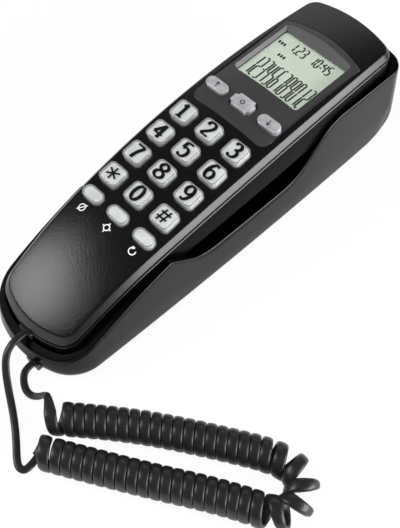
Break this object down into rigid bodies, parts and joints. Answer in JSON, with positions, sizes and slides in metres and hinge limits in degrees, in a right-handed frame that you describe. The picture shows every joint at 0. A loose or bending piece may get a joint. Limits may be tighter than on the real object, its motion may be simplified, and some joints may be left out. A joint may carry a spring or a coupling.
{
  "type": "wall telephone",
  "caption": "Slim corded wall telephone: arched handset with keypad and display lying face up in a boat-shaped cradle base with finger scoops, joined by a curly cord.",
  "frame": {"origin": "centre of the base's outline, on the flat back that the phone lies on or hangs by", "axes": "+Z out of the wall, from the back plate to the keypad; +Y along the phone, from the mouthpiece end to the earpiece end; +X across it, to the right as the keypad is read"},
  "size_m": [0.1424, 0.2179, 0.0509],
  "materials": {
    "black_gloss_abs": "glossy moulded ABS",
    "black_satin_abs": "satin moulded ABS",
    "black_abs": "plain moulded ABS",
    "zinc_steel": "zinc plated",
    "circuit_board": "solder resist",
    "clear_grey_plastic": "smoked polycarbonate",
    "white_acetal": "as moulded",
    "black_pvc": "satin flexible PVC",
    "grey_satin_plastic": "satin",
    "clear_acrylic": "clear, polished",
    "lcd_glass": "grey-green liquid crystal",
    "white_silicone": "matt",
    "nickel_steel": "nickel plated",
    "silver_key_plastic": "silver-white translucent"
  },
  "bodies": {
    "base": {"base_shell": "black_gloss_abs", "base_back_plate": "black_abs", "base_screws": "zinc_steel", "base_board": "circuit_board", "ringer": "black_abs", "line_jack": "clear_grey_plastic", "hook_switch": "black_abs", "base_cord_sleeve": "black_pvc", "curly_cord": "black_pvc", "cord_base_tail": "black_pvc", "cord_handset_tail": "black_pvc"},
    "handset": {"handset_front_shell": "black_satin_abs", "handset_rear_shell": "black_satin_abs", "handset_screws": "zinc_steel", "display_panel": "grey_satin_plastic", "display_window": "clear_acrylic", "lcd_module": "lcd_glass", "keypad_mat": "white_silicone", "main_board": "circuit_board", "earpiece_receiver": "nickel_steel", "microphone": "nickel_steel", "handset_cord_sleeve": "black_pvc"},
    "hook_plunger": {"hook_plunger": "white_acetal"},
    "key_1": {"key_1": "silver_key_plastic"},
    "key_2": {"key_2": "silver_key_plastic"},
    "key_3": {"key_3": "silver_key_plastic"},
    "key_4": {"key_4": "silver_key_plastic"},
    "key_5": {"key_5": "silver_key_plastic"},
    "key_6": {"key_6": "silver_key_plastic"},
    "key_7": {"key_7": "silver_key_plastic"},
    "key_8": {"key_8": "silver_key_plastic"},
    "key_9": {"key_9": "silver_key_plastic"},
    "key_star": {"key_star": "silver_key_plastic"},
    "key_0": {"key_0": "silver_key_plastic"},
    "key_hash": {"key_hash": "silver_key_plastic"},
    "key_display_left": {"key_display_left": "silver_key_plastic"},
    "key_display_middle": {"key_display_middle": "silver_key_plastic"},
    "key_display_right": {"key_display_right": "silver_key_plastic"},
    "key_mute": {"key_mute": "silver_key_plastic"},
    "key_set": {"key_set": "silver_key_plastic"},
    "key_redial": {"key_redial": "silver_key_plastic"}
  },
  "joints": [
    {"name": "handset_lift", "type": "slide", "parent": "base", "child": "handset", "axis": [0, 0, 1], "range_m": [0, 0.08], "deforming": ["cord_handset_tail"]},
    {"name": "hook_plunger_slide", "type": "slide", "parent": "base", "child": "hook_plunger", "axis": [0, 0, 1], "range_m": [0, 0.0036]},
    {"name": "key_1_press", "type": "slide", "parent": "handset", "child": "key_1", "axis": [0, 0.1599, -0.9871], "range_m": [0, 0.0012], "stiffness_N_per_m": 500, "springref_m": -0.0006},
    {"name": "key_2_press", "type": "slide", "parent": "handset", "child": "key_2", "axis": [0, 0.1599, -0.9871], "range_m": [0, 0.0012], "stiffness_N_per_m": 500, "springref_m": -0.0006},
    {"name": "key_3_press", "type": "slide", "parent": "handset", "child": "key_3", "axis": [0, 0.1599, -0.9871], "range_m": [0, 0.0012], "stiffness_N_per_m": 500, "springref_m": -0.0006},
    {"name": "key_4_press", "type": "slide", "parent": "handset", "child": "key_4", "axis": [0, 0.1599, -0.9871], "range_m": [0, 0.0012], "stiffness_N_per_m": 500, "springref_m": -0.0006},
    {"name": "key_5_press", "type": "slide", "parent": "handset", "child": "key_5", "axis": [0, 0.1599, -0.9871], "range_m": [0, 0.0012], "stiffness_N_per_m": 500, "springref_m": -0.0006},
    {"name": "key_6_press", "type": "slide", "parent": "handset", "child": "key_6", "axis": [0, 0.1599, -0.9871], "range_m": [0, 0.0012], "stiffness_N_per_m": 500, "springref_m": -0.0006},
    {"name": "key_7_press", "type": "slide", "parent": "handset", "child": "key_7", "axis": [0, 0.1599, -0.9871], "range_m": [0, 0.0012], "stiffness_N_per_m": 500, "springref_m": -0.0006},
    {"name": "key_8_press", "type": "slide", "parent": "handset", "child": "key_8", "axis": [0, 0.1599, -0.9871], "range_m": [0, 0.0012], "stiffness_N_per_m": 500, "springref_m": -0.0006},
    {"name": "key_9_press", "type": "slide", "parent": "handset", "child": "key_9", "axis": [0, 0.1599, -0.9871], "range_m": [0, 0.0012], "stiffness_N_per_m": 500, "springref_m": -0.0006},
    {"name": "key_star_press", "type": "slide", "parent": "handset", "child": "key_star", "axis": [0, 0.1599, -0.9871], "range_m": [0, 0.0012], "stiffness_N_per_m": 500, "springref_m": -0.0006},
    {"name": "key_0_press", "type": "slide", "parent": "handset", "child": "key_0", "axis": [0, 0.1599, -0.9871], "range_m": [0, 0.0012], "stiffness_N_per_m": 500, "springref_m": -0.0006},
    {"name": "key_hash_press", "type": "slide", "parent": "handset", "child": "key_hash", "axis": [0, 0.1599, -0.9871], "range_m": [0, 0.0012], "stiffness_N_per_m": 500, "springref_m": -0.0006},
    {"name": "key_display_left_press", "type": "slide", "parent": "handset", "child": "key_display_left", "axis": [0, 0.1599, -0.9871], "range_m": [0, 0.0012], "stiffness_N_per_m": 500, "springref_m": -0.0006},
    {"name": "key_display_middle_press", "type": "slide", "parent": "handset", "child": "key_display_middle", "axis": [0, 0.1599, -0.9871], "range_m": [0, 0.0012], "stiffness_N_per_m": 500, "springref_m": -0.0006},
    {"name": "key_display_right_press", "type": "slide", "parent": "handset", "child": "key_display_right", "axis": [0, 0.1599, -0.9871], "range_m": [0, 0.0012], "stiffness_N_per_m": 500, "springref_m": -0.0006},
    {"name": "key_mute_press", "type": "slide", "parent": "handset", "child": "key_mute", "axis": [0, 0.1599, -0.9871], "range_m": [0, 0.0012], "stiffness_N_per_m": 500, "springref_m": -0.0006},
    {"name": "key_set_press", "type": "slide", "parent": "handset", "child": "key_set", "axis": [0, 0.1599, -0.9871], "range_m": [0, 0.0012], "stiffness_N_per_m": 500, "springref_m": -0.0006},
    {"name": "key_redial_press", "type": "slide", "parent": "handset", "child": "key_redial", "axis": [0, 0.1599, -0.9871], "range_m": [0, 0.0012], "stiffness_N_per_m": 500, "springref_m": -0.0006}
  ],
  "couplings": [
    {"joint": "hook_plunger_slide", "follows": "handset_lift", "ratio": 0.04375}
  ]
}
